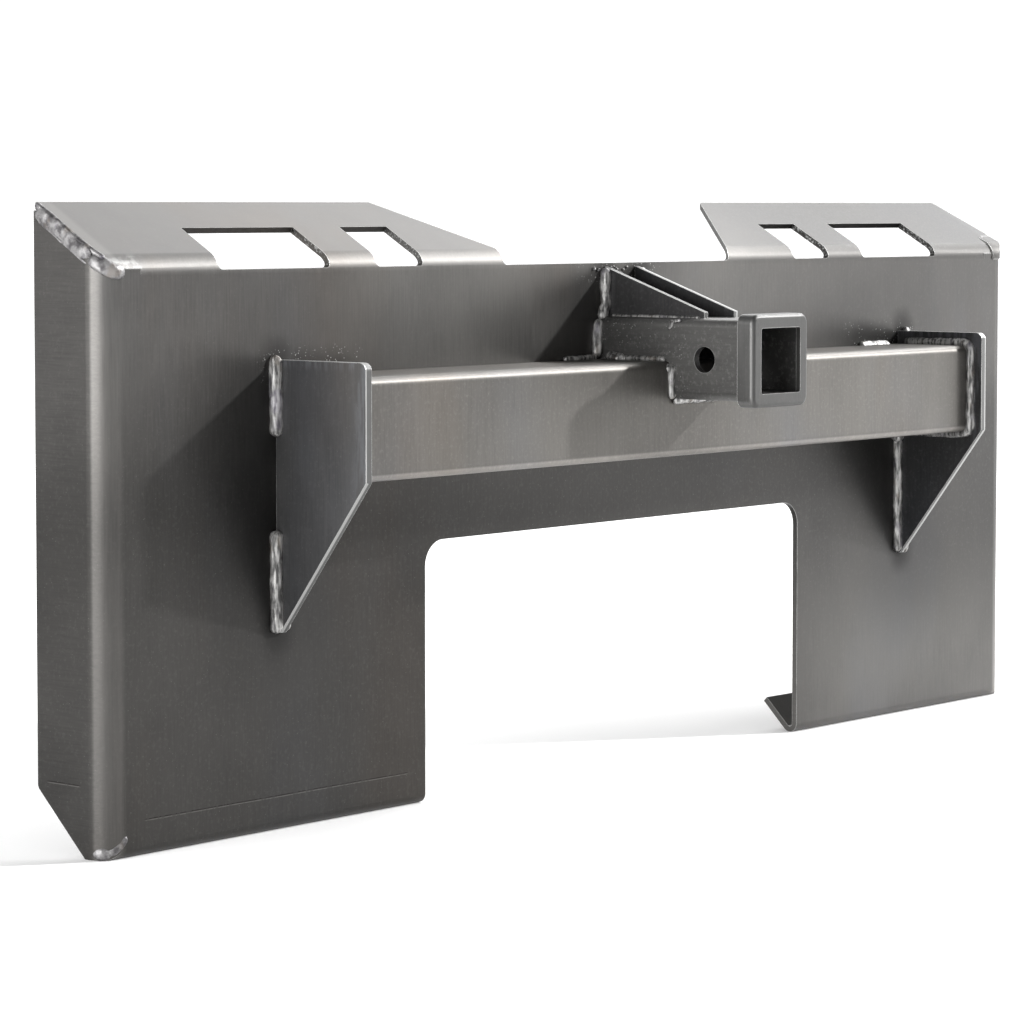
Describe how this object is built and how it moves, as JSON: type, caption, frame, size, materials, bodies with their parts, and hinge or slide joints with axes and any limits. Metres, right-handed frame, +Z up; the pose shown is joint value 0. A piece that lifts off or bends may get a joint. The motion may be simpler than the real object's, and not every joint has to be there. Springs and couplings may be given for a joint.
{
  "type": "skid steer attachment plate",
  "caption": "Welded quick-attach mounting plate with folded sides, windowed top flanges, a square crossmember between gussets and a square drawbar receiver socket.",
  "frame": {"origin": "middle of the bounding box at its lowest level, under the bent lips", "axes": "+X towards the right end as the receiver's mouth is faced, +Y from the receiver through the face to the loader side, +Z up"},
  "size_m": [1.1458, 0.2338, 0.461],
  "materials": {
    "raw_steel": "raw hot-rolled sheet, lightly brushed",
    "weld_metal": "as welded, wire brushed"
  },
  "bodies": {
    "root": {"formed_plate": "raw_steel", "crossmember_tube": "raw_steel", "left_end_gusset": "raw_steel", "right_end_gusset": "raw_steel", "receiver_tube": "raw_steel", "receiver_collar": "raw_steel", "left_receiver_rib": "raw_steel", "right_receiver_rib": "raw_steel", "top_left_corner_weld": "weld_metal", "top_right_corner_weld": "weld_metal", "bottom_left_corner_weld": "weld_metal", "bottom_right_corner_weld": "weld_metal", "left_gusset_outer_welds": "weld_metal", "right_gusset_outer_welds": "weld_metal", "left_gusset_inner_weld": "weld_metal", "right_gusset_inner_weld": "weld_metal", "left_tube_end_weld": "weld_metal", "right_tube_end_weld": "weld_metal", "crossmember_top_stitches": "weld_metal", "crossmember_bottom_stitches": "weld_metal", "receiver_saddle_welds": "weld_metal", "receiver_side_welds": "weld_metal", "receiver_root_welds": "weld_metal", "rib_plate_welds": "weld_metal", "rib_tube_welds": "weld_metal", "collar_weld": "weld_metal"}
  },
  "joints": []
}
